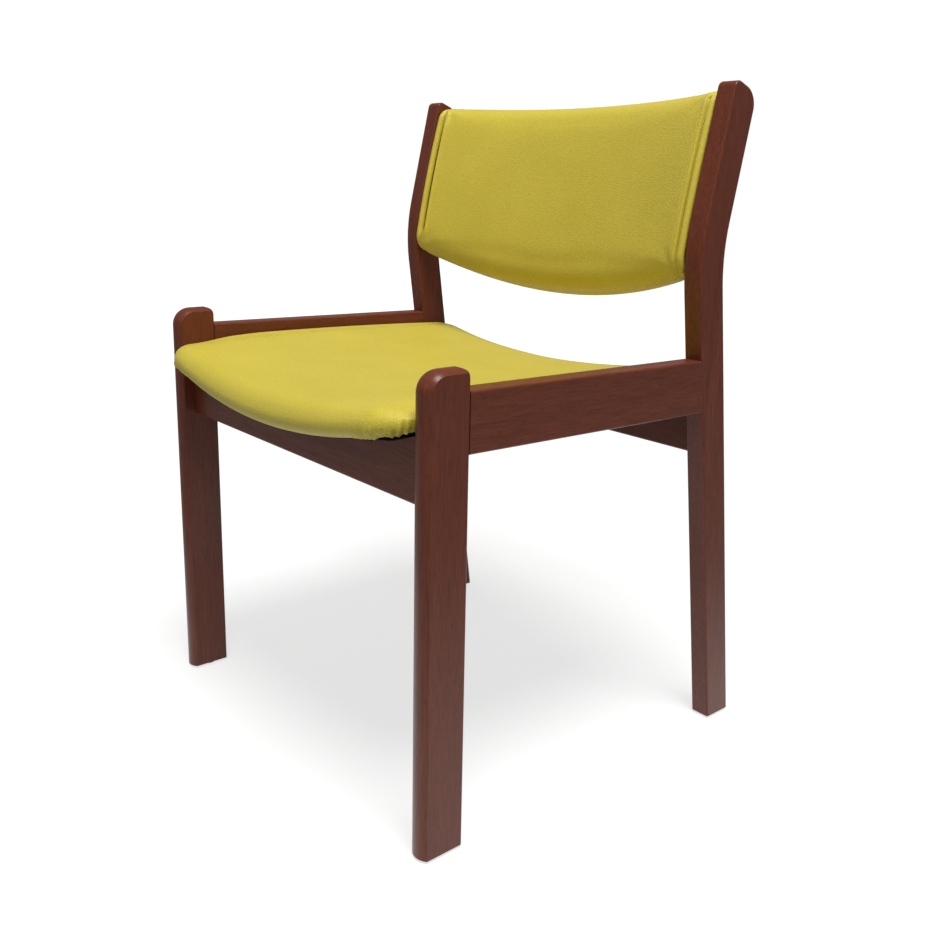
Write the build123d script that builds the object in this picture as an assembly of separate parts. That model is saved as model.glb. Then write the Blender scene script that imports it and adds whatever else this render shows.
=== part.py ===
from build123d import *
import os
from dataclasses import dataclass
from math import atan2, cos, degrees, radians, sin, sqrt, tan

# Four-legged wooden visitor chair with an upholstered seat and back, in millimetres.
# +Z is up, the sitter looks along -Y, and +X is the sitter's left. The origin lies on the floor,
# in the middle of the overall box. Depths below are measured from the leg line, which is where
# the flat sides of the front legs end and their rounded fronts begin.

# Overall
overall_width = 550.0
overall_height = 780.0

# Solid beech stock
stock = 25.0                  # thickness of the legs, posts and side rails
arris = 2.5                   # rounding of the long edges
fit = 0.1                     # clearance all round a dowel, screw or nail in its hole

# Front legs
leg_rise = 22.0               # top of the leg over the side rail's top edge
leg_depth = 50.0              # front to rear, with the rounded front
leg_bow = 5.0                 # rise of the rounded front and top over the stock's thickness
leg_front_radius = 22.0       # front corner of the top, seen from the side
leg_rear_radius = 10.0        # rear corner of the top, seen from the side

# Rear posts
foot_spread = 453.0           # leg line to the posts' front edge at the floor
post_depth = 41.0             # square to the run of the post
post_lean = 7.9               # degrees that the lower run leans forward as it rises
back_rake = 12.8              # degrees that the upper run leans back
bend_height = 593.0           # where the front edges of the two runs would meet
bend_radius = 200.0           # inside radius of the bend
post_top_slope = 20.0         # degrees that the top falls to the rear
post_front_radius = 8.0       # front corner of the top
post_rear_radius = 22.0       # rear corner of the top

# Side rails
side_rail_rise = 74.0         # top edge over the seat's underside, where it meets the front leg
side_rail_height = 61.5
side_rail_fall = 5.5          # how much lower the rail lies where it meets the post

# Cross rails
cross_rail = 22.0             # thickness of the front and rear rails
front_rail_setback = 14.0     # front face behind the leg line
front_rail_height = 42.0      # below the underside of the seat, in the middle
rear_rail_setback = 9.0       # front face behind the post's front edge, at the rail's lower edge

# Seat
seat_gap = 1.5                # between the cushion and each side rail
seat_overhang = 36.0          # middle of the front edge, ahead of the leg line
seat_depth = 472.0
seat_bow = 10.0               # how far the front edge draws back at the sides
seat_corner = 44.0
seat_underside = 404.0        # height of the underside in the middle, at the leg line
seat_dish = 36.5              # how far the sides rise over the middle
seat_roll = 11.0              # radius of the rolled edges
seat_rear_roll = 20.0         # upper radius of the rear edge in the middle, where the pad is thickest
seat_crown = 6.0              # how far the middle swells over the rear edge
seat_side_crown = 6.5         # how far the sides swell over their rolled edges
seat_board_thickness = 11.0
seat_board_inset = 9.0        # board's edge inside the cushion's outline
seat_return = 35.0            # width of the cover turned in under the seat
lining_thickness = 0.8
lining_inset = 14.0
bed_gap = 0.2                 # play above and below the lining

# Back
back_gap = 1.5                # between the cushion and each post
back_drop = 4.0               # upper edge below the top of the posts
back_height = 245.0           # along the rake, in the middle
back_bow = 33.0               # how far the lower edge rises at the sides
back_corner = 18.0
back_dish = 42.0              # how far the sides come forward of the middle
back_roll = 12.0
back_crown = 15.5
back_side_crown = 5.0
back_proud = 2.0              # front of the cushion ahead of the posts, at the sides
back_board_thickness = 18.0
back_board_inset = 8.0
back_seam = 6.0               # seam between the two covers, ahead of the rear face
welt_diameter = 9.0
welt_inset = 4.7              # welt's middle inside the cushion's side
welt_sunk = 4.2               # how far the welt's middle lies below the cushion's face
welt_top = 10.0               # end of the welt below the cushion's upper edge
welt_bottom = 22.0            # end of the welt above the cushion's lower corners
board_round = 4.0             # rounding of the boards' edges towards the cover
cover_thickness = 1.0
least_wall = 2.0              # shortest upright part of a cushion's straight edge

# Dowels
rail_dowel_diameter = 10.0
rail_dowel_length = 44.0
rail_dowel_spacing = 30.0
cross_dowel_diameter = 8.0
cross_dowel_length = 36.0
cross_dowel_in_leg = 16.0
cross_dowel_edge = 18.0       # lowest dowel above the cross rail's lower edge
cross_dowel_spacing = 30.0
back_dowel_diameter = 8.0
back_dowel_in_post = 18.0
back_dowel_in_board = 12.0
back_dowel_low = 87.0         # along the rake, above the lowest edge of the back
back_dowel_spacing = 100.0
dowel_end_gap = 1.0           # glue space past each end

# Screws, nails and glides
seat_screw_diameter = 5.0
seat_screw_head = 10.0
seat_screw_head_height = 3.5
seat_screw_in_board = 8.0
seat_screw_reach = 130.0      # from the middle of the chair
seat_screw_bore = 13.0        # counterbore in the lower edge of the cross rail
seat_screw_bore_depth = 12.0
glide_diameter = 19.0
glide_height = 3.0
glide_chamfer = 1.0
glide_recess = 6.4
glide_recess_depth = 1.6
nail_diameter = 2.4
nail_head = 6.0
nail_head_height = 1.0
nail_length = 16.0

# Worked out from the sizes above
half_width = overall_width / 2
inner_face = half_width - stock
stock_middle = half_width - stock / 2
flat_depth = leg_depth - leg_bow
lean = radians(post_lean)
rake = radians(back_rake)
foot_reach = foot_spread + post_depth / cos(lean)
leg_line = (seat_overhang - foot_reach) / 2
leg_rear = leg_line + flat_depth
foot_front = leg_line + foot_spread

# Runs of the rear posts in the side view, as (y, z) directions and their normals to the rear
low_run = Vector(-sin(lean), cos(lean))
low_normal = Vector(cos(lean), sin(lean))
high_run = Vector(sin(rake), cos(rake))
high_normal = Vector(cos(rake), -sin(rake))
bend_front = Vector(foot_front - bend_height * tan(lean), bend_height)


def meet(start, run, other, other_run):
    """Point where two lines in the side view cross."""
    apart = other - start
    share = (apart.X * other_run.Y - apart.Y * other_run.X) / (run.X * other_run.Y - run.Y * other_run.X)
    return start + run * share


def post_front_at(height):
    """Depth of the posts' front edge at a height below the bend."""
    return foot_front - height * tan(lean)


side_rail_top = seat_underside + side_rail_rise
leg_height = side_rail_top + leg_rise
rail_end = post_front_at(side_rail_top)
rail_slope = side_rail_fall / (rail_end - leg_rear)
seat_tilt = degrees(atan2(side_rail_fall, rail_end - leg_rear))


front_rail_face = leg_line + front_rail_setback
front_rail_bottom = seat_underside - front_rail_height
rear_rail_bottom = front_rail_bottom - rail_slope * (post_front_at(front_rail_bottom) - front_rail_face)
rear_rail_face = post_front_at(rear_rail_bottom) + rear_rail_setback

# Places of the two cushions, which are both modelled lying flat
seat_place = Pos(0, leg_line, seat_underside) * Rot(-seat_tilt, 0, 0)
back_base = bend_front + high_normal * (back_dish + 2 * back_roll + back_side_crown - back_proud)
back_place = Pos(0, back_base.X, back_base.Y) * Rot(90 - back_rake, 0, 0)


def side_view(*edges):
    """Face in the side view, drawn in (y, z)."""
    return Plane.YZ * make_face(list(edges))


def rod(start, run, diameter, length):
    """Round rod from a point along a direction."""
    end = Face(Wire(Edge.make_circle(diameter / 2, Plane(start, z_dir=run))))
    return Solid.extrude(end, run * length)


def both_sides(shape):
    """The shape and its mirror image on the sitter's right."""
    return [shape, mirror(shape, about=Plane.YZ)]


def arc_radius(half_chord, rise):
    """Radius of an arc from its half chord and its rise."""
    return (half_chord ** 2 + rise ** 2) / (2 * rise)


# Cushions, modelled lying flat with the middle of the underside at z = 0

@dataclass
class Cushion:
    half: float      # half of the width
    front: float     # middle of the bowed edge
    rear: float      # straight edge
    bow: float
    corner: float
    dish: float
    roll: float
    rear_roll: float  # upper radius of the straight edge in the middle
    crown: float     # thickness in the middle
    side: float      # thickness along the sides

    def underside(self, x):
        """Height of the dished underside at a distance from the middle."""
        radius = arc_radius(self.half, self.dish)
        return radius - sqrt(radius ** 2 - x ** 2)

    def bowed_edge(self, x):
        """Depth of the bowed edge at a distance from the middle."""
        radius = arc_radius(self.half, self.bow)
        return self.front + radius - sqrt(radius ** 2 - x ** 2)

    def straight_roll(self, x):
        """Upper radius of the straight edge at a distance from the middle."""
        return self.rear_roll - (self.rear_roll - self.roll - least_wall) * (x / self.half) ** 4


seat = Cushion(
    half=inner_face - seat_gap, front=-seat_overhang, rear=seat_depth - seat_overhang, bow=seat_bow,
    corner=seat_corner, dish=seat_dish, roll=seat_roll, rear_roll=seat_rear_roll,
    crown=2 * seat_rear_roll + seat_crown, side=2 * seat_roll + seat_side_crown)
back_top = (overall_height - back_drop - bend_height) / cos(rake)
back = Cushion(
    half=inner_face - back_gap, front=back_top - back_height, rear=back_top, bow=back_bow,
    corner=back_corner, dish=back_dish, roll=back_roll, rear_roll=back_roll + least_wall,
    crown=2 * back_roll + back_crown, side=2 * back_roll + back_side_crown)

section_steps = 8        # sections from the middle to each side, closer together towards it
last_turn = 85.0         # degrees of the quarter turn that spaces them


def rolled_section(x, front, rear, base, front_roll, rear_roll, crown):
    """Section across a cushion, all tangent: flat base, rear edge, crowned top and rolled front."""
    front_middle = Vector(front + front_roll, base + front_roll)
    rear_middle = Vector(rear - rear_roll, base + rear_roll)
    front_swell = sqrt(crown - 2 * front_roll)
    rear_swell = sqrt(crown - 2 * rear_roll)
    crest = (front_middle.X * rear_swell + rear_middle.X * front_swell) / (front_swell + rear_swell)
    radius = (crown + ((crest - front_middle.X) / front_swell) ** 2) / 2
    top_middle = Vector(crest, base + crown - radius)
    front_top = front_middle + (front_middle - top_middle).normalized() * front_roll
    rear_top = rear_middle + (rear_middle - top_middle).normalized() * rear_roll
    bottom = Line((front_middle.X, base), (rear - front_roll, base))
    rear_foot = TangentArc(bottom @ 1, (rear, base + front_roll), tangent=bottom % 1)
    wall = Line(rear_foot @ 1, (rear, rear_middle.Y))
    rear_edge = TangentArc(wall @ 1, rear_top, tangent=wall % 1)
    top = ThreePointArc(rear_top, (crest, base + crown), front_top)
    front_edge = ThreePointArc(front_top, (front, front_middle.Y), (front_middle.X, base))
    return Pos(x, 0, 0) * (Plane.YZ * make_face([bottom, rear_foot, wall, rear_edge, top, front_edge]))


def cushion_body(pad, inset):
    """Crowned cushion with drawn-in sides, lofted from side to side; inset shrinks it all round."""
    half = pad.half - inset
    corner = pad.corner - inset
    roll = pad.roll - inset
    straight = half - corner
    sections = []
    for step in range(-section_steps, section_steps + 1):
        x = half * sin(radians(last_turn * step / section_steps))
        round_corner = max(0, abs(x) - straight)
        drawn_back = corner - sqrt(corner ** 2 - round_corner ** 2)
        round_side = max(0, abs(x) - (half - roll))
        squeeze = sqrt(1 - (round_side / roll) ** 2)
        thickness = pad.crown - (pad.crown - pad.side) * (x / half) ** 2 - 2 * inset
        rear_roll = pad.straight_roll(x) - inset
        base = pad.underside(x) + inset + roll * (1 - squeeze)
        front = pad.bowed_edge(x) + inset + drawn_back
        rear = pad.rear - inset - drawn_back
        sections.append(rolled_section(
            x, front, rear, base, roll * squeeze, rear_roll * squeeze, thickness * squeeze))
    return loft(sections)


def cushion_outline(pad, inset, low, high):
    """Upright prism on the cushion's plan, inset all round."""
    half = pad.half - inset
    side_front = pad.bowed_edge(half) + inset
    corners = [(-half, side_front), (half, side_front), (half, pad.rear - inset), (-half, pad.rear - inset)]
    bowed = ThreePointArc(corners[0], (0, pad.front + inset), corners[1])
    plan = make_face([bowed, Line(*corners[1:3]), Line(*corners[2:4]), Line(corners[3], corners[0])])
    plan = fillet(plan.vertices(), pad.corner - inset)
    return Pos(0, 0, low) * extrude(plan, high - low)


def dished_sheet(pad, low, high):
    """Sheet between two levels over the underside, curved like it and wider than the cushion."""
    radius = arc_radius(pad.half, pad.dish)
    spread = 2 * degrees(atan2(pad.half, radius - pad.dish))
    ends = []
    for level in (low, high):
        reach = radius - level
        half_angle = radians(spread) / 2 + stock / radius
        tip = (reach * sin(half_angle), radius - reach * cos(half_angle))
        ends.append((ThreePointArc((-tip[0], tip[1]), (0, level), tip), tip))
    (lower, low_tip), (upper, high_tip) = ends
    joins = [Line(tip, other) for tip, other in (
        (low_tip, high_tip), ((-low_tip[0], low_tip[1]), (-high_tip[0], high_tip[1])))]
    profile = make_face([lower, upper, *joins])
    length = pad.rear - pad.front + 2 * stock
    return Pos(0, pad.rear + stock, 0) * (Plane.XZ * extrude(profile, length))


def cushion_board(pad, thickness, inset):
    """Moulded plywood board inside a cushion, rounded towards the cover, and the space it takes below."""
    low = cover_thickness + fit
    reach = pad.dish + pad.crown
    outline = cushion_outline(pad, inset, -reach, reach)
    board = dished_sheet(pad, low, low + thickness) & outline
    rim = board.faces().sort_by(SortBy.AREA)[-2:].sort_by(Axis.Z)[0].edges()
    board = fillet(rim, board_round)
    return board, dished_sheet(pad, -pad.crown / 2, low + thickness) & outline


# Front legs

def front_leg():
    """Left leg: flat-sided body with a rounded strip that runs up the front and over the top."""
    path_radius = leg_front_radius - leg_bow
    shoulder = leg_height - leg_bow
    foot = (leg_line, glide_height)
    heel = (leg_rear, glide_height)
    rise = Line(foot, (leg_line, shoulder - path_radius))
    turn = TangentArc(rise @ 1, (leg_line + path_radius, shoulder), tangent=rise % 1)
    over = Line(turn @ 1, (leg_rear, shoulder))
    flank = side_view(rise, turn, over, Line(over @ 1, heel), Line(heel, foot))
    body = Pos(inner_face, 0, 0) * extrude(flank, stock)
    chord = [(inner_face, leg_line), (half_width, leg_line)]
    crest = (stock_middle, leg_line - leg_bow)
    strip = make_face([Line(*chord), ThreePointArc(chord[1], crest, chord[0])])
    path = Pos(stock_middle, 0, 0) * (Plane.YZ * Wire([rise, turn, over]))
    leg = body + sweep(Pos(0, 0, glide_height) * strip, path)
    tip = (leg_rear, leg_height)
    round_start = (leg_rear - leg_rear_radius, leg_height)
    round_end = (leg_rear, leg_height - leg_rear_radius)
    rounding = TangentArc(round_start, round_end, tangent=(1, 0))
    waste = side_view(Line(round_start, tip), Line(tip, round_end), rounding)
    leg -= Pos(inner_face, 0, 0) * extrude(waste, stock)
    rear_edges = leg.edges().filter_by(Axis.Z).group_by(Axis.Y)[-1]
    return fillet(rear_edges, arris)


# Rear posts

def rear_post():
    """Left post: two straight runs joined by a bend, with a sloping, rounded top."""
    bend_rear = bend_front + (low_normal + high_normal) * (post_depth / (1 + low_normal.dot(high_normal)))
    floor = Vector(0, glide_height)
    along = Vector(1, 0)
    foot = meet(bend_front, low_run, floor, along)
    heel = meet(bend_rear, low_run, floor, along)
    slope = radians(post_top_slope)
    crest = meet(bend_front + high_normal * post_front_radius, high_run,
                 Vector(0, overall_height - post_front_radius), along)
    top_start = crest + Vector(sin(slope), cos(slope)) * post_front_radius
    top_run = Vector(cos(slope), -sin(slope))
    top_front = meet(bend_front, high_run, top_start, top_run)
    top_rear = meet(bend_rear, high_run, top_start, top_run)
    outline = make_face(Polyline(foot, bend_front, top_front, top_rear, bend_rear, heel, close=True))
    for corner, radius in ((bend_front, bend_radius + post_depth), (bend_rear, bend_radius),
                           (top_front, post_front_radius), (top_rear, post_rear_radius)):
        outline = fillet(outline.vertices().sort_by_distance(corner)[0], radius)
    post = Pos(inner_face, 0, 0) * extrude(Plane.YZ * outline, stock)
    sole = post.faces().sort_by(Axis.Z)[0]
    flanks = post.faces().filter_by(Axis.X)
    rim = [edge for flank in flanks for edge in flank.edges() if edge.center().Z > sole.center().Z + fit]
    return fillet(rim, arris)


# Rails

def side_rail():
    """Left rail, butted between the leg and the slanting front of the post."""
    ends = []
    for drop in (0, side_rail_height):
        start = Vector(leg_rear, side_rail_top - drop)
        ends.append((start, meet(start, Vector(1, -rail_slope), bend_front, low_run)))
    (top_start, top_end), (low_start, low_end) = ends
    face = side_view(*Polyline(top_start, top_end, low_end, low_start, close=True).edges())
    rail = Pos(inner_face, 0, 0) * extrude(face, stock)
    long_edges = [edge for edge in rail.edges() if edge.length > rail_end - leg_rear - side_rail_height]
    return fillet(long_edges, arris)


def cross_rail_piece(face, bottom):
    """Rail between the side frames, with its top dished to the underside of the seat."""
    height = seat_underside + seat_dish - bottom
    blank = Pos(0, face + cross_rail / 2, bottom + height / 2) * Box(2 * inner_face, cross_rail, height)
    lower = blank.edges().filter_by(Axis.X).group_by(Axis.Z)[0]
    return fillet(lower, arris) - over_seat_bed


# Round fixings

def headed(length, under_head, run, shank, head, head_height):
    """Fixing with a flat round head; the run points from under the head to the tip."""
    return rod(under_head, run, shank, length) + rod(under_head - run * head_height, run, head, head_height)


def glide(place):
    """Nylon glide with a recess for its nail's head."""
    disc = Cylinder(glide_diameter / 2, glide_height, align=(Align.CENTER, Align.CENTER, Align.MIN))
    disc = chamfer(disc.edges().group_by(Axis.Z)[0], glide_chamfer)
    disc -= Cylinder(glide_recess / 2, glide_recess_depth, align=(Align.CENTER, Align.CENTER, Align.MIN))
    disc -= Cylinder(nail_diameter / 2 + fit, glide_height, align=(Align.CENTER, Align.CENTER, Align.MIN))
    return Pos(*place) * disc


def bored(piece, rods):
    """The piece with a hole for each rod."""
    for each in rods:
        piece -= each
    return piece


# Seat

over_seat_bed = seat_place * dished_sheet(seat, -2 * bed_gap - lining_thickness, seat.crown + seat.dish)
seat_board, seat_board_space = cushion_board(seat, seat_board_thickness, seat_board_inset)
seat_outer = cushion_body(seat, 0)
seat_inner = cushion_body(seat, cover_thickness)
seat_reach = seat.dish + seat.crown
seat_mouth = dished_sheet(seat, -seat.crown / 2, seat_board_thickness / 2) & cushion_outline(
    seat, seat_return, -seat_reach, seat_reach)
seat_cover = seat_outer - seat_inner - seat_mouth
seat_foam = seat_inner - seat_board_space
seat_lining = dished_sheet(seat, -bed_gap - lining_thickness, -bed_gap) & cushion_outline(
    seat, lining_inset, -seat_reach, seat_reach)
seat_pieces = {
    "seat_board": seat_board, "seat_foam": seat_foam, "seat_cover": seat_cover, "seat_lining": seat_lining}

# Back

back_board, back_board_space = cushion_board(back, back_board_thickness, back_board_inset)
back_outer = cushion_body(back, 0)
back_inner = cushion_body(back, cover_thickness)
back_shell = back_outer - back_inner
rear_half = dished_sheet(back, -back.crown, back_seam)
welt_middle = back.half - welt_inset
welt_low = back.bowed_edge(welt_middle) + welt_bottom
welt_length = back.rear - welt_top - welt_low
welt_level = back.underside(welt_middle) + back.side - welt_sunk


def welt(diameter):
    """Left welt: a straight cord with round ends along the side of the cushion."""
    start = Vector(welt_middle, welt_low, welt_level)
    cord = rod(start, Vector(0, 1, 0), diameter, welt_length)
    for end in (start, start + Vector(0, welt_length, 0)):
        cord += Pos(*end) * Sphere(diameter / 2)
    return cord


welt_left, welt_right = both_sides(welt(welt_diameter))
welt_channels = both_sides(welt(welt_diameter + 2 * fit))
back_foam = bored(back_inner - back_board_space, welt_channels)
back_cover = bored(back_shell - rear_half, welt_channels)
back_rear_cover = back_shell & rear_half
back_pieces = {
    "back_board": back_board, "back_foam": back_foam, "back_cover": back_cover,
    "back_rear_cover": back_rear_cover, "back_welt_left": welt_left, "back_welt_right": welt_right}

# Dowels and screws, each as (diameter, start, direction, length) on the sitter's left

across = Vector(1, 0, 0)
up = Vector(0, 0, 1)
rail_middle = side_rail_top - side_rail_height / 2
rail_rods = []
for step in (-0.5, 0.5):
    height = rail_middle + step * rail_dowel_spacing
    front = Vector(stock_middle, leg_rear - rail_dowel_length / 2, height)
    rail_rods.append((rail_dowel_diameter, front, Vector(0, 1, 0), rail_dowel_length))
    seat_on_post = meet(Vector(leg_rear, height), Vector(1, -rail_slope), bend_front, low_run)
    rear = seat_on_post - low_normal * (rail_dowel_length / 2)
    run = Vector(0, low_normal.X, low_normal.Y)
    rail_rods.append((rail_dowel_diameter, Vector(stock_middle, rear.X, rear.Y), run, rail_dowel_length))


def cross_rods(face, bottom):
    """Dowels from a cross rail into the left leg or post."""
    x = inner_face + cross_dowel_in_leg - cross_dowel_length
    y = face + cross_rail / 2
    heights = [bottom + cross_dowel_edge + step * cross_dowel_spacing for step in range(2)]
    return [(cross_dowel_diameter, Vector(x, y, z), across, cross_dowel_length) for z in heights]


front_rods = cross_rods(front_rail_face, front_rail_bottom)
rear_rods = cross_rods(rear_rail_face, rear_rail_bottom)
back_rods = []
board_middle = back.underside(back.half) + cover_thickness + fit + back_board_thickness / 2
for step in range(2):
    along = back.front + back_dowel_low + step * back_dowel_spacing
    start = back.half - back_board_inset - back_dowel_in_board
    point = (back_place * Pos(start, along, board_middle)).position
    back_rods.append((back_dowel_diameter, point, across, inner_face + back_dowel_in_post - start))


def dowels(rods):
    """Dowels on both sides of the chair."""
    return [side for size, start, run, length in rods for side in both_sides(rod(start, run, size, length))]


def holes(rods):
    """Holes for the same dowels, with room all round and a glue space past each end."""
    longer = []
    for size, start, run, length in rods:
        longer.append((size + 2 * fit, start - run * dowel_end_gap, run, length + 2 * dowel_end_gap))
    return dowels(longer)


cross_rails = {
    "front_rail": (front_rail_face, front_rail_bottom), "rear_rail": (rear_rail_face, rear_rail_bottom)}
seat_screws, seat_holes = [], []
for face, bottom in cross_rails.values():
    middle = face + cross_rail / 2
    under_head = Vector(seat_screw_reach, middle, bottom + seat_screw_bore_depth)
    seat_low = seat_underside + seat.underside(seat_screw_reach) - rail_slope * (middle - leg_line)
    length = seat_low + cover_thickness + seat_screw_in_board - under_head.Z
    seat_screws += both_sides(headed(length, under_head, up, seat_screw_diameter,
                                     seat_screw_head, seat_screw_head_height))
    seat_holes += both_sides(headed(length + fit, under_head, up, seat_screw_diameter + 2 * fit,
                                    seat_screw_bore, seat_screw_bore_depth))

# Feet

foot_middles = {"front": leg_line + flat_depth / 2, "rear": foot_front + post_depth / cos(lean) / 2}
nails, nail_holes = [], []
for depth in foot_middles.values():
    under_head = Vector(stock_middle, depth, glide_recess_depth)
    nails += both_sides(headed(nail_length, under_head, up, nail_diameter, nail_head, nail_head_height))
    nail_holes += both_sides(rod(under_head, up, nail_diameter + 2 * fit, nail_length + fit))

# Assembly

pieces = {}
frame_pieces = {
    "front_leg": bored(front_leg(), holes(rail_rods) + holes(front_rods) + nail_holes),
    "rear_post": bored(rear_post(), holes(rail_rods) + holes(rear_rods) + holes(back_rods) + nail_holes),
    "side_rail": bored(side_rail(), holes(rail_rods))}
for place, depth in foot_middles.items():
    frame_pieces["glide_" + place] = glide((stock_middle, depth, 0))
for name, piece in frame_pieces.items():
    pieces[name + "_left"], pieces[name + "_right"] = both_sides(piece)

for name, (face, bottom) in cross_rails.items():
    pieces[name] = bored(cross_rail_piece(face, bottom), holes(cross_rods(face, bottom)) + seat_holes)
for name, piece in seat_pieces.items():
    pieces[name] = bored(seat_place * piece, seat_holes)
for name, piece in back_pieces.items():
    pieces[name] = bored(back_place * piece, holes(back_rods))
pieces["side_rail_dowels"] = Compound(dowels(rail_rods))
pieces["front_rail_dowels"] = Compound(dowels(front_rods))
pieces["rear_rail_dowels"] = Compound(dowels(rear_rods))
pieces["back_dowels"] = Compound(dowels(back_rods))
pieces["seat_screws"] = Compound(seat_screws)
pieces["glide_nails"] = Compound(nails)

os.makedirs("parts", exist_ok=True)
for name, piece in pieces.items():
    export_step(piece, f"parts/{name}.step")
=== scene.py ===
from math import atan2, cos, pi, radians, sin, sqrt, tanh

import bpy
from mathutils import Matrix, Vector, noise


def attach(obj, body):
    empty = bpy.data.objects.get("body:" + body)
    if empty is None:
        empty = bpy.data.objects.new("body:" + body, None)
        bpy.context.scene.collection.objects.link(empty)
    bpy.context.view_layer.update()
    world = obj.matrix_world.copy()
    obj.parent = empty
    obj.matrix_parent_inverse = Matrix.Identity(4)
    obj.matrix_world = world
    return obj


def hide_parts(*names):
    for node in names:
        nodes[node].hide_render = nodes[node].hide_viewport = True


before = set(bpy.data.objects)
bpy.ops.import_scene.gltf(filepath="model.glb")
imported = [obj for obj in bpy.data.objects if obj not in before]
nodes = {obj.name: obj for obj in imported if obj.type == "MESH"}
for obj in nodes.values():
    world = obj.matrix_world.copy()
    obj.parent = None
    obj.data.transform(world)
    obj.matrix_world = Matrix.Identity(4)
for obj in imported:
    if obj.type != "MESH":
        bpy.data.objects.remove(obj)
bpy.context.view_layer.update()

# Wooden visitor chair with a padded seat and a padded back, dressed around its CAD frame, in metres.
# +Z is up, the sitter looks along -Y, and +X is the sitter's left.

MM = 0.001

# Sizes shared with the part's source
leg_line = -229.196 * MM             # where the flat sides of the front legs end
seat_height = 404 * MM               # underside of the seat in the middle, at the leg line
seat_tilt = radians(0.922)
post_bend = Vector((0, 141.519, 593)) * MM       # front edges of the posts, where they bend
back_rake = radians(12.8)
back_proud = 2 * MM                  # front of the back ahead of the posts, at the sides
lining_inset = 14 * MM
lining_thickness = 0.8 * MM


class Pad:
    """A padded form lying flat: x across, y towards its straight edge, z outwards. An end's shape is its
    lower roll, upright wall and upper roll, as shares of the thickness. Sizes are given in millimetres:
    half the width, the front and rear end of the plan in the middle, how far they bow, the radius of the
    plan's corners, the dish of the underside, the rounding of the sides, and the thickness in the middle
    (crown) and at the sides (side)."""

    def __init__(self, front_shape, rear_shape, **sizes):
        self.front_shape = front_shape
        self.rear_shape = rear_shape
        for name, size in sizes.items():
            setattr(self, name, size * MM)

    def arc(self, rise, x):
        """Rise of an arc over the pad's width at a distance from the middle; a negative rise falls."""
        radius = (self.half ** 2 + rise ** 2) / (2 * rise)
        return radius - sqrt(radius ** 2 - x ** 2) * (1 if rise > 0 else -1)

    def underside(self, x):
        """Height of the dished underside."""
        return self.arc(self.dish, x)

    def edges(self, x, inset=0):
        """Front and rear end of the plan at a distance from the middle, inset all round."""
        corner = self.corner - inset
        past = min(corner, max(0, abs(x) - self.half + inset + corner))
        drawn = corner - sqrt(corner ** 2 - past ** 2)
        rear = self.rear + self.rear_bow * (1 - (x / self.half) ** 2)
        return self.front + self.arc(self.bow, x) + inset + drawn, rear - inset - drawn


seat = Pad(half=248.5, front=-36, rear=436, bow=10, rear_bow=0, corner=44, dish=36.5, side_roll=11,
           crown=43, side=27, front_shape=(0.33, 0, 0.58), rear_shape=(0.26, 0.18, 0.44))
back = Pad(half=248.5, front=-57.3, rear=187.7, bow=33, rear_bow=3, corner=13, dish=42, side_roll=6,
           crown=39.5, side=29, front_shape=(0.14, 0, 0.8), rear_shape=(0.2, 0.08, 0.62))
back_normal = Vector((0, cos(back_rake), -sin(back_rake)))
back_base = post_bend + back_normal * (back.dish + back.side - back_proud)
seat_place = Matrix.Translation((0, leg_line, seat_height)) @ Matrix.Rotation(-seat_tilt, 4, "X")
back_place = Matrix.Translation(back_base) @ Matrix.Rotation(radians(90) - back_rake, 4, "X")
rear_place = back_place @ Matrix.Rotation(pi, 4, "Y")


# Camera at the photograph's viewing angle

camera_place = Vector((0.96114, -0.76147, 0.66308))
camera_yaw = radians(49.52)          # from looking along +Y, towards -X
camera_pitch = radians(-13.06)
camera_roll = radians(1.27)
camera_lens = 37.93                  # millimetres, on a sensor this wide
camera_sensor = 36
camera_shift = (-0.0054, -0.0603)


def make_camera():
    across = Vector((-sin(camera_yaw), cos(camera_yaw), 0))
    ahead = across * cos(camera_pitch) + Vector((0, 0, sin(camera_pitch)))
    level = Vector((cos(camera_yaw), sin(camera_yaw), 0))
    upright = level.cross(ahead)
    right = cos(camera_roll) * level + sin(camera_roll) * upright
    up = cos(camera_roll) * upright - sin(camera_roll) * level
    data = bpy.data.cameras.new("camera")
    data.lens = camera_lens
    data.sensor_width = camera_sensor
    data.shift_x, data.shift_y = camera_shift
    camera = bpy.data.objects.new("camera", data)
    turn = Matrix((right, up, -ahead)).transposed().to_4x4()
    camera.matrix_world = Matrix.Translation(camera_place) @ turn
    bpy.context.scene.collection.objects.link(camera)
    bpy.context.scene.camera = camera


make_camera()


# Materials

def linear(colour):
    """Linear RGBA of an sRGB hex colour."""
    channels = []
    for start in (1, 3, 5):
        share = int(colour[start:start + 2], 16) / 255
        channels.append(share / 12.92 if share <= 0.04045 else ((share + 0.055) / 1.055) ** 2.4)
    return channels + [1]


def add(tree, kind, inputs, output=None, **settings):
    """Adds a node and gives back an output; each input is a value, or a socket that is linked to it."""
    made = tree.nodes.new(kind)
    for name, value in settings.items():
        setattr(made, name, value)
    sockets = {socket.identifier: socket for socket in made.inputs}
    for name, value in inputs.items():
        if isinstance(value, bpy.types.NodeSocket):
            tree.links.new(value, sockets[name])
        else:
            sockets[name].default_value = value
    return made.outputs[output] if output else next(socket for socket in made.outputs if socket.enabled)


def new_material(name, **sockets):
    """A material with fixed values on its shader, and the place of a surface point in metres."""
    material = bpy.data.materials.new(name)
    material.use_nodes = True
    tree = material.node_tree
    shader = tree.nodes["Principled BSDF"]
    for socket, value in sockets.items():
        shader.inputs[socket.replace("_", " ")].default_value = value
    place = add(tree, "ShaderNodeTexCoord", {}, output="Object")
    return material, tree, shader, place


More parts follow.
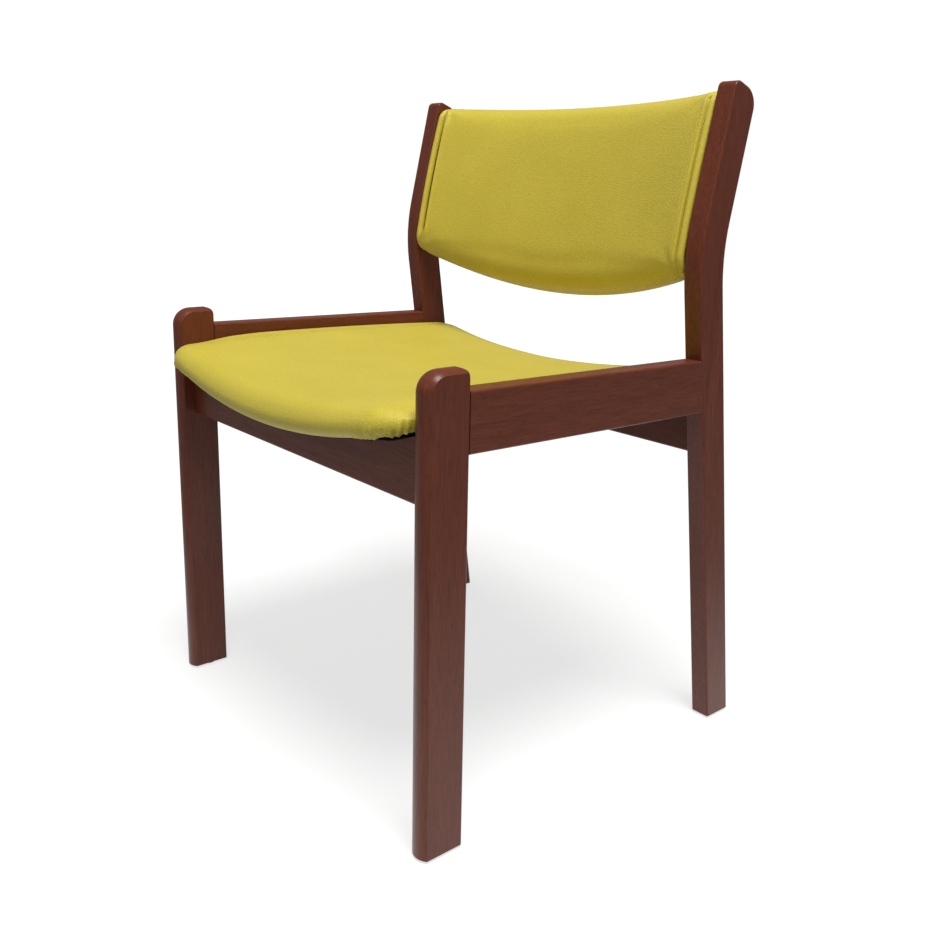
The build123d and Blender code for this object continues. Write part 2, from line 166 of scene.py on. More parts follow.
# Layers of the beech's figure: width across the grain in millimetres, stretch along it, and detail
beech_layers = (("rings", 10, 20, 3), ("pores", 1.1, 30, 2), ("flecks", 1.7, 6, 0), ("blotches", 130, 2, 2))


def stained_beech(name, along):
    """Solid beech, stained red-brown and sprayed with satin lacquer: fine straight grain with the short
    dark flecks of beech under an even film that glints on the rounded edges."""
    material, tree, shader, place = new_material(
        name, Specular_IOR_Level=0.25, Coat_Weight=0.15, Coat_Roughness=0.16, Coat_IOR=1.5)
    layers = {}
    for layer, size, stretch, detail in beech_layers:
        scale = [1 / (size * MM)] * 3
        scale[along] /= stretch
        mapped = add(tree, "ShaderNodeMapping", {"Vector": place, "Scale": scale})
        layers[layer] = add(tree, "ShaderNodeTexNoise", {"Vector": mapped, "Scale": 1, "Detail": detail})
    ringed = add(tree, "ShaderNodeMapRange", {"Value": layers["rings"], "From Min": 0.32, "From Max": 0.68})
    blotched = add(tree, "ShaderNodeMapRange", {"Value": layers["blotches"], "From Min": 0.3,
                                                "From Max": 0.7})
    pored = add(tree, "ShaderNodeMapRange", {"Value": layers["pores"], "From Min": 0.42, "From Max": 0.7,
                                             "To Max": 0.45})
    flecked = add(tree, "ShaderNodeMapRange", {"Value": layers["flecks"], "From Min": 0.66,
                                               "From Max": 0.74, "To Max": 0.4})
    colour = add(tree, "ShaderNodeMix", {"Factor_Float": ringed, "A_Color": linear("#672F1D"),
                                         "B_Color": linear("#783B26")}, data_type="RGBA")
    toned = add(tree, "ShaderNodeMix", {"Factor_Float": blotched, "A_Color": colour,
                                        "B_Color": linear("#6F3521")}, data_type="RGBA")
    dark = add(tree, "ShaderNodeMath", {"Value": pored, "Value_001": flecked}, operation="MAXIMUM")
    shade = add(tree, "ShaderNodeMix", {"Factor_Float": dark, "A_Color": toned,
                                        "B_Color": linear("#33140B")}, data_type="RGBA")
    gloss = add(tree, "ShaderNodeMapRange", {"Value": layers["pores"], "To Min": 0.34, "To Max": 0.5})
    bump = add(tree, "ShaderNodeBump", {"Height": layers["pores"], "Strength": 0.25, "Distance": 0.1 * MM})
    tree.links.new(shade, shader.inputs["Base Color"])
    tree.links.new(gloss, shader.inputs["Roughness"])
    tree.links.new(bump, shader.inputs["Normal"])
    return material


def grained_vinyl():
    """Upholstery vinyl, calendered on cloth and embossed with a leather grain: lime yellow with a soft
    sheen, and fine pebbles that are drawn a little coarser than real so that they show, with painted
    shade darkening the valleys between them."""
    pebble = 2.6 * MM
    bend = 1.2 * MM
    patch = 90 * MM
    material, tree, shader, place = new_material(
        "grained_vinyl", Specular_IOR_Level=0.5, Coat_Weight=0.08, Coat_Roughness=0.35, Sheen_Weight=0.1)
    waver = add(tree, "ShaderNodeTexNoise", {"Vector": place, "Scale": 1 / (3 * pebble), "Detail": 2},
                output="Color")
    bent = add(tree, "ShaderNodeMix", {"Factor_Float": bend, "A_Color": place, "B_Color": waver},
               data_type="RGBA", blend_type="ADD")
    pebbles = add(tree, "ShaderNodeTexVoronoi", {"Vector": bent, "Scale": 1 / pebble},
                  feature="DISTANCE_TO_EDGE")
    raised = add(tree, "ShaderNodeMapRange", {"Value": pebbles, "From Max": 0.28})
    fine = add(tree, "ShaderNodeTexNoise", {"Vector": place, "Scale": 2.5 / pebble, "Detail": 1})
    height = add(tree, "ShaderNodeMath", {"Value": raised, "Value_001": fine}, operation="ADD")
    cloud = add(tree, "ShaderNodeTexNoise", {"Vector": place, "Scale": 1 / patch, "Detail": 2})
    clouded = add(tree, "ShaderNodeMapRange", {"Value": cloud, "From Min": 0.3, "From Max": 0.7})
    colour = add(tree, "ShaderNodeMix", {"Factor_Float": clouded, "A_Color": linear("#CDBA35"),
                                         "B_Color": linear("#D3C03B")}, data_type="RGBA")
    # Painted shade: the valleys between the pebbles are darkened towards olive, where shade falls in the
    # grain.
    valley_shade = add(tree, "ShaderNodeMapRange", {"Value": pebbles, "From Max": 0.12, "To Min": 0.28,
                                              "To Max": 0})
    shade = add(tree, "ShaderNodeMix", {"Factor_Float": valley_shade, "A_Color": colour,
                                        "B_Color": linear("#8F8420")}, data_type="RGBA")
    gloss = add(tree, "ShaderNodeMapRange", {"Value": raised, "To Min": 0.62, "To Max": 0.46})
    bump = add(tree, "ShaderNodeBump", {"Height": height, "Strength": 0.6, "Distance": 0.3 * MM})
    tree.links.new(shade, shader.inputs["Base Color"])
    tree.links.new(gloss, shader.inputs["Roughness"])
    tree.links.new(bump, shader.inputs["Normal"])
    return material


def lining_cloth():
    """Black spunbonded cloth under the seat: matt fibres pressed together in a grid of small dots."""
    dot = 2.2 * MM
    fibre = 0.8 * MM
    material, tree, shader, place = new_material("lining_cloth", Specular_IOR_Level=0.2)
    dots = add(tree, "ShaderNodeTexVoronoi", {"Vector": place, "Scale": 1 / dot, "Randomness": 0.1})
    fibres = add(tree, "ShaderNodeTexNoise", {"Vector": place, "Scale": 1 / fibre, "Detail": 3})
    pressed = add(tree, "ShaderNodeMapRange", {"Value": dots, "From Min": 0.2, "From Max": 0.4})
    shade = add(tree, "ShaderNodeMix", {"Factor_Float": fibres, "A_Color": linear("#121213"),
                                        "B_Color": linear("#2A2A2B")}, data_type="RGBA")
    gloss = add(tree, "ShaderNodeMapRange", {"Value": pressed, "To Min": 0.6, "To Max": 0.9})
    bump = add(tree, "ShaderNodeBump", {"Height": pressed, "Strength": 0.4, "Distance": 0.15 * MM})
    tree.links.new(shade, shader.inputs["Base Color"])
    tree.links.new(gloss, shader.inputs["Roughness"])
    tree.links.new(bump, shader.inputs["Normal"])
    return material


def raw_wood(name, pale, dark, along, layer):
    """Unfinished wood: dowel rods, and plywood whose layers show as stripes across its edges."""
    stretch = 20
    material, tree, shader, place = new_material(name, Specular_IOR_Level=0.3, Roughness=0.7)
    scale = [1 / layer] * 3
    scale[along] /= stretch
    mapped = add(tree, "ShaderNodeMapping", {"Vector": place, "Scale": scale})
    grain = add(tree, "ShaderNodeTexNoise", {"Vector": mapped, "Scale": 1, "Detail": 3})
    shade = add(tree, "ShaderNodeMix", {"Factor_Float": grain, "A_Color": linear(pale),
                                        "B_Color": linear(dark)}, data_type="RGBA")
    tree.links.new(shade, shader.inputs["Base Color"])
    return material


def zinc_steel():
    """Zinc-plated steel wire and screws: grey metal, slightly cloudy from the bath."""
    patch = 2 * MM
    material, tree, shader, place = new_material("zinc_steel", Metallic=1)
    cloud = add(tree, "ShaderNodeTexNoise", {"Vector": place, "Scale": 1 / patch, "Detail": 2})
    shade = add(tree, "ShaderNodeMix", {"Factor_Float": cloud, "A_Color": linear("#9A9CA0"),
                                        "B_Color": linear("#C6C8CA")}, data_type="RGBA")
    gloss = add(tree, "ShaderNodeMapRange", {"Value": cloud, "To Min": 0.25, "To Max": 0.45})
    tree.links.new(shade, shader.inputs["Base Color"])
    tree.links.new(gloss, shader.inputs["Roughness"])
    return material


def moulded_nylon():
    """Dark brown nylon, injection moulded: satin with a faint orange-peel, scuffed by the floor."""
    scratch = 1.5 * MM
    material, tree, shader, place = new_material("moulded_nylon", IOR=1.53)
    scuff = add(tree, "ShaderNodeTexNoise", {"Vector": place, "Scale": 1 / scratch, "Detail": 3})
    shade = add(tree, "ShaderNodeMix", {"Factor_Float": scuff, "A_Color": linear("#231712"),
                                        "B_Color": linear("#35251D")}, data_type="RGBA")
    gloss = add(tree, "ShaderNodeMapRange", {"Value": scuff, "To Min": 0.35, "To Max": 0.6})
    tree.links.new(shade, shader.inputs["Base Color"])
    tree.links.new(gloss, shader.inputs["Roughness"])
    return material


X, Y, Z = range(3)
upright_beech = stained_beech("stained_beech_upright", Z)
rail_beech = stained_beech("stained_beech_side_rail", Y)
cross_beech = stained_beech("stained_beech_cross_rail", X)
vinyl = grained_vinyl()
lining = lining_cloth()
dowel_beech = raw_wood("dowel_beech", "#D9B98C", "#C29B6B", X, 1.2 * MM)
plywood = raw_wood("plywood", "#CDA777", "#A9804F", Y, 1.5 * MM)
steel = zinc_steel()
nylon = moulded_nylon()

finishes = {"front_leg": upright_beech, "rear_post": upright_beech, "side_rail_left": rail_beech,
            "side_rail_right": rail_beech, "front_rail": cross_beech, "rear_rail": cross_beech,
            "seat_board": plywood, "back_board": plywood, "seat_screws": steel, "glide_nails": steel,
            "glide_front": nylon, "glide_rear": nylon}
for name, piece in nodes.items():
    finish = next((finishes[start] for start in finishes if name.startswith(start)), vinyl)
    if name.endswith("dowels"):
        finish = dowel_beech
    piece.data.materials.clear()
    piece.data.materials.append(finish)


# Stage: pale floor, white backdrop, soft light from above and a fainter one from the front

floor_size = 12
floor_glow = 0.68                    # added to the floor near the chair, for the camera alone
floor_fade = (1.2, 4.5)              # from the chair to where the floor is as white as the backdrop
floor_reflection_glow = (0.45, 0.95)           # painted reflection: from the chair to where the floor's glow, seen in reflections alone, has faded out
dome_light = 0.24
lamp_aim = Vector((0, 0, 0.45))

# Lamps: name, place, width in metres and power in watts
lamps = (("ceiling", Vector((1.2, -0.55, 4.0)), 1.9, 156), ("window", Vector((-0.4, -2.7, 2.2)), 1.2, 4))


def make_floor():
    bpy.ops.object.select_all(action="DESELECT")
    bpy.ops.mesh.primitive_grid_add(x_subdivisions=2, y_subdivisions=2, size=floor_size)
    floor = bpy.context.object
    floor.name = "floor"
    material, tree, shader, place = new_material("pale_floor", Roughness=0.8, Specular_IOR_Level=0.2)
    shader.inputs["Base Color"].default_value = linear("#B2B2B1")
    shader.inputs["Emission Color"].default_value = linear("#FFFFFF")
    away = add(tree, "ShaderNodeVectorMath", {"Vector": place}, output="Value", operation="LENGTH")
    seen = add(tree, "ShaderNodeLightPath", {}, output="Is Camera Ray")
    mirrored = add(tree, "ShaderNodeLightPath", {}, output="Is Glossy Ray")
    whiter = add(tree, "ShaderNodeMapRange", {"Value": away, "From Min": floor_fade[0],
                                              "From Max": floor_fade[1], "To Min": floor_glow, "To Max": 1})
    # Painted reflection: near the chair the floor glows for glossy rays alone, so the lacquer low on the
    # legs mirrors a light the lamps do not give.
    reflected_glow = add(tree, "ShaderNodeMapRange", {"Value": away, "From Min": floor_reflection_glow[0],
                                             "From Max": floor_reflection_glow[1], "To Min": 1, "To Max": 0})
    direct = add(tree, "ShaderNodeMath", {"Value": seen, "Value_001": whiter}, operation="MULTIPLY")
    glow = add(tree, "ShaderNodeMath", {"Value": mirrored, "Value_001": reflected_glow, "Value_002": direct},
               operation="MULTIPLY_ADD")
    tree.links.new(glow, shader.inputs["Emission Strength"])
    floor.data.materials.append(material)


def make_backdrop():
    """White as the camera sees it, and a dim dome of light for everything else."""
    world = bpy.data.worlds.new("studio")
    world.use_nodes = True
    tree = world.node_tree
    seen = add(tree, "ShaderNodeLightPath", {}, output="Is Camera Ray")
    strength = add(tree, "ShaderNodeMapRange", {"Value": seen, "To Min": dome_light, "To Max": 1})
    backdrop = tree.nodes["Background"]
    backdrop.inputs["Color"].default_value = linear("#FFFFFF")
    tree.links.new(strength, backdrop.inputs["Strength"])
    bpy.context.scene.world = world
    bpy.context.scene.view_settings.view_transform = "Standard"


def make_lamps():
    for name, place, size, power in lamps:
        data = bpy.data.lights.new(name, "AREA")
        data.shape = "DISK"
        data.size = size
        data.energy = power
        light = bpy.data.objects.new(name, data)
        light.location = place
        light.rotation_euler = (lamp_aim - place).to_track_quat("-Z", "Y").to_euler()
        bpy.context.scene.collection.objects.link(light)


make_floor()
make_backdrop()
make_lamps()


# Padded forms

foot_steps = 8                       # faces round the lower roll of an end
wall_steps = 3                       # up its wall
roll_steps = 12                      # round its upper roll
side_steps = 8                       # and round a side
weld = 0.02 * MM                     # points closer than this become one
crease = radians(40)                 # edges sharper than this stay sharp
nose_reach = 90 * MM                 # from a pad's curved edge to where its cover swells fully
puff_frames = 20


def smooth_step(value, low, high):
    """0 below low, 1 above high, and a soft slope between."""
    share = min(1, max(0, (value - low) / (high - low)))
    return share * share * (3 - 2 * share)


def turned(middle, radius, start, stop, steps):
    """Points on an arc in the (y, z) plane, without the last."""
    angles = [start + (stop - start) * step / steps for step in range(steps)]
    return [(middle[0] + radius * cos(angle), middle[1] + radius * sin(angle)) for angle in angles]


def section_ring(pad, x, across):
    """Points round the pad's section as (y, z): underside, rear end, crowned top and front end."""
    past = min(1, max(0, (abs(x) - pad.half) / pad.side_roll + 1))
    squeeze = sqrt(1 - past ** 2)
    base = pad.underside(x) + pad.side_roll * (1 - squeeze)
    front, rear = pad.edges(x)
    if squeeze == 0:
        end_steps = foot_steps + wall_steps + roll_steps
        line = [front + (rear - front) * step / across for step in range(across + 1)]
        return [(y, base) for y in line[:-1] + [rear] * end_steps + line[:0:-1] + [front] * end_steps]
    thick = (pad.crown - (pad.crown - pad.side) * (x / pad.half) ** 2) * squeeze
    front_foot, front_wall, front_roll = (share * thick for share in pad.front_shape)
    rear_foot, rear_wall, rear_roll = (share * thick for share in pad.rear_shape)
    front_y, front_z = front + front_roll, base + front_foot + front_wall
    rear_y, rear_z = rear - rear_roll, base + rear_foot + rear_wall
    swell = base + thick - front_z - front_roll
    rear_swell = base + thick - rear_z - rear_roll
    crest = front_y + (rear_y - front_y) * sqrt(swell) / (sqrt(swell) + sqrt(rear_swell))
    radius = front_roll + ((crest - front_y) ** 2 / swell + swell) / 2
    sunk = base + thick - radius
    rear_angle = atan2(rear_z - sunk, rear_y - crest)
    front_angle = atan2(front_z - sunk, front_y - crest)
    rear_top = rear_y + rear_roll * cos(rear_angle)
    front_top = front_y + front_roll * cos(front_angle)
    under = rear - rear_foot - front - front_foot
    ring = [(front + front_foot + under * step / across, base) for step in range(across)]
    ring += turned((rear - rear_foot, base + rear_foot), rear_foot, -pi / 2, 0, foot_steps)
    ring += [(rear, base + rear_foot + rear_wall * step / wall_steps) for step in range(wall_steps)]
    ring += turned((rear_y, rear_z), rear_roll, 0, rear_angle, roll_steps)
    for step in range(across):
        y = rear_top + (front_top - rear_top) * step / across
        ring.append((y, sunk + sqrt(radius ** 2 - (y - crest) ** 2)))
    ring += turned((front_y, front_z), front_roll, front_angle, pi, roll_steps)
    ring += [(front, front_z - front_wall * step / wall_steps) for step in range(wall_steps)]
    ring += turned((front + front_foot, base + front_foot), front_foot, pi, 3 * pi / 2, foot_steps)
    return ring


def shaped_grid(name, columns, rows, material):
    """A new grid of vertices, and the column and row of each."""
    bpy.ops.object.select_all(action="DESELECT")
    bpy.ops.mesh.primitive_grid_add(x_subdivisions=columns, y_subdivisions=rows, size=2)
    piece = bpy.context.object
    piece.name = name
    piece.data.materials.append(material)
    cells = []
    for vertex in piece.data.vertices:
        cells.append((round((vertex.co.x + 1) / 2 * columns), round((vertex.co.y + 1) / 2 * rows)))
    return piece, cells


def column_place(pad, column, columns):
    """Distance from the middle of a column; the outer columns follow the rounding of the side."""
    flat = columns / 2 - side_steps
    steps = column - columns / 2
    reach = abs(steps)
    if reach <= flat:
        return (pad.half - pad.side_roll) * steps / flat
    turn = (reach - flat) / side_steps * pi / 2
    return (pad.half - pad.side_roll + pad.side_roll * sin(turn)) * (1 if steps > 0 else -1)


def wrapped_pad(name, pad, place, columns, across):
    """A grid of vinyl wrapped round the pad's section and closed along its sides and underside."""
    rows = len(section_ring(pad, 0, across))
    piece, cells = shaped_grid(name, columns, rows, vinyl)
    xs = [column_place(pad, column, columns) for column in range(columns + 1)]
    rings = [section_ring(pad, x, across) for x in xs]
    for vertex, (column, row) in zip(piece.data.vertices, cells):
        vertex.co = place @ Vector((xs[column], *rings[column][row % rows]))
    bpy.ops.object.mode_set(mode="EDIT")
    bpy.ops.mesh.select_all(action="SELECT")
    bpy.ops.mesh.remove_doubles(threshold=weld)
    bpy.ops.mesh.normals_make_consistent(inside=False)
    bpy.ops.object.mode_set(mode="OBJECT")
    bpy.ops.object.shade_smooth()
    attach(piece, "root")
    return piece


def finish_with(piece, kind, **settings):
    """Adds a modifier and applies it."""
    bpy.ops.object.select_all(action="DESELECT")
    bpy.context.view_layer.objects.active = piece
    piece.select_set(True)
    modifier = piece.modifiers.new(kind.title(), kind)
    for name, value in settings.items():
        setattr(modifier, name, value)
    bpy.ops.object.modifier_apply(modifier=modifier.name)


def puff(piece, pad, place, cap, least=1):
    """Swells the cover like stretched cloth over its foam, up to a cap. It is held underneath and at the
    sides, and only the least share of the swell is kept at the curved edge."""
    inverse = place.inverted()
    start = [vertex.co.copy() for vertex in piece.data.vertices]
    held = piece.vertex_groups.new(name="held")
    for index, co in enumerate(start):
        flat = inverse @ co
        height = flat.z - pad.underside(min(abs(flat.x), pad.half))
        low = 1 - smooth_step(height, pad.side_roll, 2 * pad.side_roll)
        side = smooth_step(abs(flat.x), pad.half - 3 * pad.side_roll, pad.half - pad.side_roll)
        held.add([index], max(low, side), "REPLACE")
    cloth = piece.modifiers.new("Cloth", "CLOTH")
    cloth.settings.quality = 4
    cloth.settings.mass = 0.3
    cloth.settings.use_pressure = True
    cloth.settings.uniform_pressure_force = 4
    cloth.settings.effector_weights.gravity = 0
    cloth.settings.vertex_group_mass = "held"
    cloth.settings.pin_stiffness = 5
    cloth.collision_settings.use_collision = False
    for step in range(1, puff_frames + 1):
        bpy.context.scene.frame_set(step)
    bpy.context.view_layer.objects.active = piece
    bpy.ops.object.modifier_apply(modifier=cloth.name)
    bpy.context.scene.frame_set(1)
    for vertex, before in zip(piece.data.vertices, start):
        move = vertex.co - before
        if move.length > 0:
            flat = inverse @ before
            edge = pad.front + pad.arc(pad.bow, min(abs(flat.x), pad.half))
            share = least + (1 - least) * smooth_step(flat.y - edge, 0, nose_reach)
            vertex.co = before + move.normalized() * share * cap * tanh(move.length / cap)


# Seat: one sheet of vinyl drawn over the foam, gathered under its front corners

seat_swell = 4 * MM                  # how far the cover rises when it is puffed
nose_share = 0.25                    # of the swell, at the front edge
gather_width = 7.5 * MM              # from fold to fold
gather_depth = 3.8 * MM
gather_reach = (-30 * MM, 62 * MM)   # along the edge, from where the corner begins
gather_height = (3 * MM, 20 * MM)    # over the underside, where the folds run out
gather_rim = (8 * MM, 20 * MM)       # inside the edge, where they run out too
gather_evenness = 0.7                # share of the depth that all folds have
gather_change = 0.6                  # and that changes from fold to fold
gather_drift = 1.1                   # radians that the folds drift apart
gather_outward = 0.6                 # share of the depth by which they stand out
uneven_along = 60                    # noise waves per metre along the edge
uneven_across = 2                    # and across the seat
middle_x = seat.half - seat.corner   # where the rounding of a front corner is centred
middle_y = seat.edges(middle_x)[0] + seat.corner
corner_reach = 27 * MM               # how far in the top is drawn down at the front corners
corner_drop = 7 * MM                 # and how far down
drop_fade = (-12 * MM, 50 * MM)      # from the tip of the corner backwards
side_fade = 110 * MM                 # and how far back along the side


def round_corners(piece):
    """Lowers the top towards both front corners, where the cover is drawn down from two sides."""
    inverse = seat_place.inverted()
    for vertex in piece.data.vertices:
        flat = inverse @ vertex.co
        out = Vector((abs(flat.x) - middle_x, flat.y - middle_y))
        if out.x < 0 or out.y > side_fade:
            continue
        inside = seat.corner - (out.length if out.y < 0 else out.x)
        fade = 1 - smooth_step(out.y, 0, side_fade)
        reach = seat.side_roll + (corner_reach - seat.side_roll) * fade
        thick = seat.crown - (seat.crown - seat.side) * (flat.x / seat.half) ** 2
        wall = thick * (seat.front_shape[0] + seat.front_shape[1])
        gone = 1 - min(1, max(0, inside / reach))
        base = seat.underside(min(abs(flat.x), seat.half))
        flat.z = min(flat.z, base + wall + (thick - wall) * sqrt(1 - gone ** 2))
        upper = smooth_step(flat.z - base, wall / 2, thick)
        tip = 1 - smooth_step(out.y, *drop_fade)
        flat.z -= corner_drop * upper * tip * smooth_step(out.x, 0, seat.corner)
        vertex.co = seat_place @ flat


def gather_corners(piece):
    """Presses the folds of the gathered cover into the lower edge at both front corners."""
    inverse = seat_place.inverted()
    for vertex in piece.data.vertices:
        flat = inverse @ vertex.co
        out = Vector((abs(flat.x) - middle_x, flat.y - middle_y))
        if out.y > 0 or abs(flat.x) > seat.half:
            continue
        along = seat.corner * atan2(out.x, -out.y) if out.x > 0 else out.x
        height = flat.z - seat.underside(flat.x)
        low = 1 - smooth_step(height, *gather_height)
        inside = seat.corner - (-out.y if out.x < 0 else out.length)
        rim = 1 - smooth_step(inside, *gather_rim)
        ends = smooth_step(along, gather_reach[0], 0)
        ends *= 1 - smooth_step(along, seat.corner, gather_reach[1])
        waver = noise.noise(Vector((along * uneven_along, flat.x * uneven_across, 0)))
        fold = 2 * abs(sin(pi * along / gather_width + gather_drift * waver)) - 1
        push = gather_depth * low * rim * ends * (gather_evenness + gather_change * waver)
        side = 1 if flat.x > 0 else -1
        away = Vector((side * max(0, out.x), min(0, out.y), 0)).normalized()
        flat += away * push * fold * gather_outward
        flat.z -= push * max(0, fold)
        vertex.co = seat_place @ flat


seat_cushion = wrapped_pad("seat_cushion", seat, seat_place, columns=100, across=78)
round_corners(seat_cushion)
puff(seat_cushion, seat, seat_place, seat_swell, nose_share)
finish_with(seat_cushion, "SUBSURF", levels=1, render_levels=1)
gather_corners(seat_cushion)
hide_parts("seat_cover", "seat_foam")


# Lining under the seat, with a hem in front that droops below the cover towards the front corners, real
# black lining shown as a dark strip of painted shade under the gathers, and the staples that hold it

lining_gap = 0.2 * MM                # between the seat and the lining
hem = 16 * MM                        # from the front staples to the lining's front edge
# Painted shade: the black hem hangs lower towards the front corners, a dark strip where shade falls under
# the gathered cover.
hem_shade_droop = 5 * MM
hem_corner = (180 * MM, 212 * MM)    # from the middle to where the hem droops fully
hem_wave = 31 * MM                   # from ripple to ripple
hem_ripple = 0.25                    # of the droop, above and below
lining_sag = 2.5 * MM
sag_fade = (100 * MM, 330 * MM)      # where the sag is full, from the leg line
rail_behind = 36 * MM                # rear face of the front rail, from the leg line
rail_ahead = 412 * MM                # front face of the rear rail


def lining_height(x, y):
    """Middle of the lining's thickness at a point of the seat's plan."""
    front = seat.edges(x, lining_inset)[0]
    free = 1 - smooth_step(y - front, 0, hem)
    corner = smooth_step(abs(x), *hem_corner)
    ripple = 1 - hem_ripple + hem_ripple * sin(abs(x) * 2 * pi / hem_wave)
    droop = hem_shade_droop * free * corner * ripple
    open_part = smooth_step(y, rail_behind, sag_fade[0]) * (1 - smooth_step(y, sag_fade[1], rail_ahead))
    sag = lining_sag * open_part * (1 - (x / seat.half) ** 2)
    return seat.underside(x) - lining_gap - lining_thickness / 2 - droop - sag


def make_lining():
    columns, rows = 90, 84
    piece, cells = shaped_grid("lining_cloth", columns, rows, lining)
    reach = seat.half - lining_inset
    for vertex, (column, row) in zip(piece.data.vertices, cells):
        x = reach * (2 * column / columns - 1)
        front, rear = seat.edges(x, lining_inset)
        y = front + (rear - front) * row / rows
        vertex.co = seat_place @ Vector((x, y, lining_height(x, y)))
    bpy.ops.object.mode_set(mode="EDIT")
    bpy.ops.mesh.select_all(action="SELECT")
    bpy.ops.mesh.remove_doubles(threshold=weld)
    bpy.ops.object.mode_set(mode="OBJECT")
    finish_with(piece, "SOLIDIFY", thickness=lining_thickness, offset=0)
    bpy.ops.object.shade_smooth_by_angle(angle=crease)
    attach(piece, "root")
    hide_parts("seat_lining")


staple_crown = 10 * MM
staple_wire = 1.3 * MM
staple_height = 0.7 * MM
staple_bite = 0.15 * MM              # how deep a staple is pressed into the lining
staple_pitch = 42 * MM
staple_margin = 6 * MM               # from the sides of the lining
staple_start = 20 * MM               # from the front rail to the first one at a side
front_staples = 9
side_staples = 8


def staple_spots():
    """Places and directions of the staples in the seat's plan, clear of the two cross rails."""
    spots = []
    side_reach = seat.half - lining_inset - staple_margin
    for step in range(front_staples):
        x = (step - (front_staples - 1) / 2) * staple_pitch
        spots.append((x, seat.edges(x, lining_inset)[0] + hem, 0))
    for step in range(side_staples):
        y = rail_behind + staple_start + step * staple_pitch
        spots += [(side_reach, y, pi / 2), (-side_reach, y, pi / 2)]
    return spots


def make_staples():
    """One rounded staple crown, copied along the edge of the lining."""
    copies = []
    for x, y, turn in staple_spots():
        bpy.ops.object.select_all(action="DESELECT")
        bpy.ops.mesh.primitive_cube_add(size=1)
        staple = bpy.context.object
        bpy.ops.object.mode_set(mode="EDIT")
        bpy.ops.transform.resize(value=(staple_crown, staple_wire, staple_height))
        bpy.ops.mesh.bevel(offset=staple_height / 3, segments=2, affect="EDGES")
        bpy.ops.object.mode_set(mode="OBJECT")
        slope = 2 * seat.dish * x / seat.half ** 2
        level = lining_height(x, y) - lining_thickness / 2 - staple_height / 2 + staple_bite
        turned_to = Matrix.Rotation(-atan2(slope, 1), 4, "Y") @ Matrix.Rotation(turn, 4, "Z")
        staple.data.transform(seat_place @ Matrix.Translation((x, y, level)) @ turned_to)
        copies.append(staple)
    for staple in copies:
        staple.select_set(True)
    bpy.context.view_layer.objects.active = copies[0]
    bpy.ops.object.join()
    piece = bpy.context.object
    piece.name = "lining_staples"
    piece.data.materials.append(steel)
    bpy.ops.object.shade_smooth_by_angle(angle=crease)
    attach(piece, "root")


make_lining()
make_staples()


# Back: front cover drawn in beside a welt at each post, and a covered panel behind

left, right = 1, -1                  # sign of x
back_swell = 2 * MM
welt_radius = 4.5 * MM
welt_inset = 4.7 * MM                # welt's middle inside the cushion's side
welt_lift = 0.6 * MM                 # welt's front over the cushion's face
welt_steps = 40                      # along the face of the back
welt_facets = 4                      # round a quarter of the welt
welt_crease = radians(50)
tuck_zone = 24 * MM                  # width of the cover that is drawn in beside a welt
groove_end = (1 * MM, 14 * MM)       # below the upper edge, where the groove fades out

# How far the cover is drawn in, and where the groove fades in over the lower edge and over the board
tuck = {left: 9.5 * MM, right: 15.5 * MM}
groove_start = {left: (-4 * MM, 6 * MM), right: (14 * MM, 36 * MM)}
groove_depth = {left: (9 * MM, 23 * MM), right: (15 * MM, 23 * MM)}


def groove_fade(side, x, y):
    """1 along the groove beside a welt, 0 past its ends."""
    low = y - back.front - back.arc(back.bow, min(abs(x), back.half))
    return smooth_step(low, *groove_start[side]) * smooth_step(back.rear - y, *groove_end)


def tuck_sides(piece):
    """Draws the sides of the cover in to leave a groove beside each welt."""
    inverse = back_place.inverted()
    for vertex in piece.data.vertices:
        flat = inverse @ vertex.co
        side = left if flat.x > 0 else right
        reach = min(abs(flat.x), back.half)
        height = flat.z - back.underside(reach)
        front_part = smooth_step(height, *groove_depth[side])
        share = smooth_step(reach, back.half - tuck_zone, back.half)
        flat.x -= side * tuck[side] * share * front_part * groove_fade(side, flat.x, flat.y)
        vertex.co = back_place @ flat


def drawn_in(path, depth):
    """A path round a section moved inwards, across its own direction."""
    moved = []
    for index, (y, z) in enumerate(path):
        before = path[max(0, index - 1)]
        after = path[min(len(path) - 1, index + 1)]
        along = Vector((after[0] - before[0], after[1] - before[1])).normalized()
        moved.append((y - along.y * depth, z + along.x * depth))
    return moved


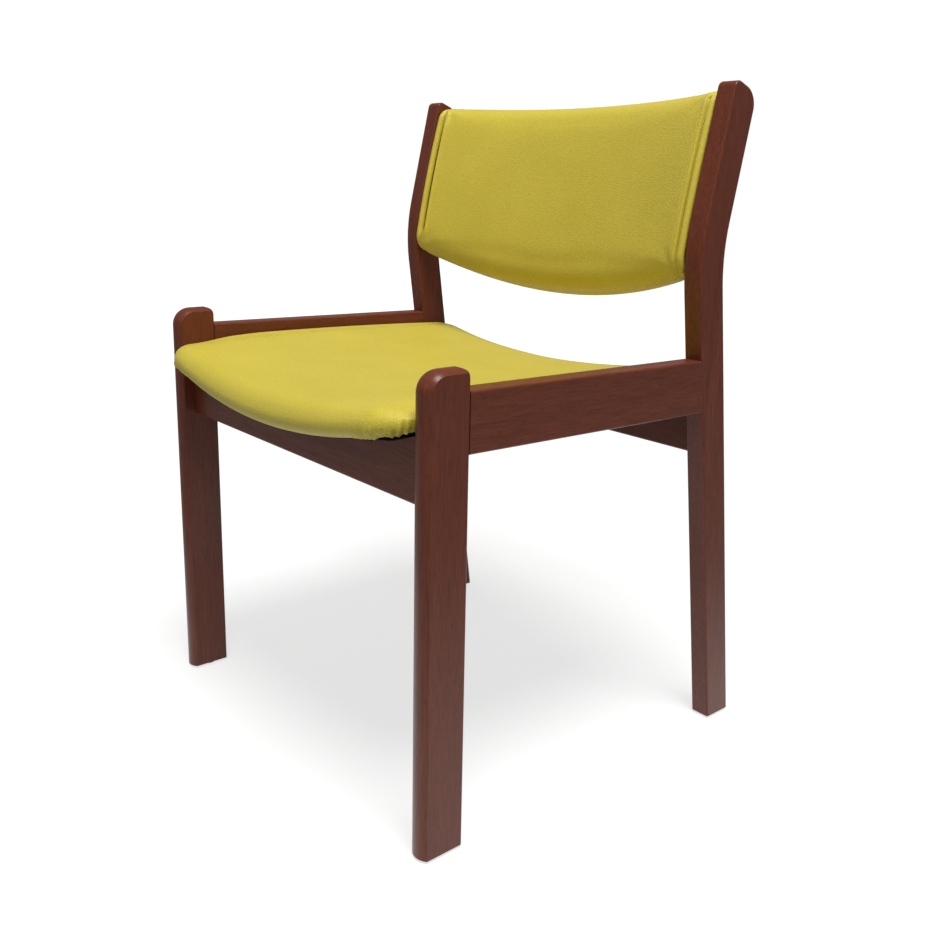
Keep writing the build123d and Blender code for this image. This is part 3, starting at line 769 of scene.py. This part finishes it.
def make_welt(name, side):
    """Piped edge beside a post: follows the cushion's side over the upper edge and round the lower one."""
    x = back.half - welt_inset
    seam = back.half - back.side_roll
    ring = section_ring(back, seam, welt_steps)
    upper_edge = welt_steps + foot_steps
    lower_edge = len(ring) - foot_steps - wall_steps
    path = drawn_in(ring[upper_edge:lower_edge], welt_radius - welt_lift)
    rise = back.underside(x) - back.underside(seam)
    data = bpy.data.curves.new(name, "CURVE")
    data.dimensions = "3D"
    data.bevel_depth = welt_radius
    data.bevel_resolution = welt_facets
    data.use_fill_caps = True
    spline = data.splines.new("POLY")
    spline.points.add(len(path) - 1)
    for point, (y, z) in zip(spline.points, path):
        point.co = (*(back_place @ Vector((side * x, y, z + rise))), 1)
    piece = bpy.data.objects.new(name, data)
    bpy.context.scene.collection.objects.link(piece)
    bpy.ops.object.select_all(action="DESELECT")
    piece.select_set(True)
    bpy.context.view_layer.objects.active = piece
    bpy.ops.object.convert(target="MESH")
    piece.data.materials.append(vinyl)
    bpy.ops.object.shade_smooth_by_angle(angle=welt_crease)
    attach(piece, "root")
    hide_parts(name.replace("piped", "back_welt"))


back_cushion = wrapped_pad("back_cushion", back, back_place, columns=110, across=52)
puff(back_cushion, back, back_place, back_swell)
finish_with(back_cushion, "SUBSURF", levels=1, render_levels=1)
tuck_sides(back_cushion)
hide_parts("back_cover", "back_foam")
make_welt("piped_left", left)
make_welt("piped_right", right)

panel_inset = 9 * MM
panel_sink = 1 * MM                  # into the rear of the cushion
panel_end = (0.42, 0.04, 0.42)
panel_half = back.half - panel_inset
panel = Pad(half=panel_half / MM, front=(back.front + panel_inset) / MM,
            rear=(back.rear - panel_inset) / MM, bow=back.arc(back.bow, panel_half) / MM, rear_bow=0,
            corner=10, dish=-back.underside(panel_half) / MM,
            side_roll=1.5, crown=6, side=3.6, front_shape=panel_end, rear_shape=panel_end)
panel_place = rear_place @ Matrix.Translation((0, 0, -panel_sink))
rear_panel = wrapped_pad("back_rear_panel", panel, panel_place, columns=70, across=40)
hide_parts("back_rear_cover")
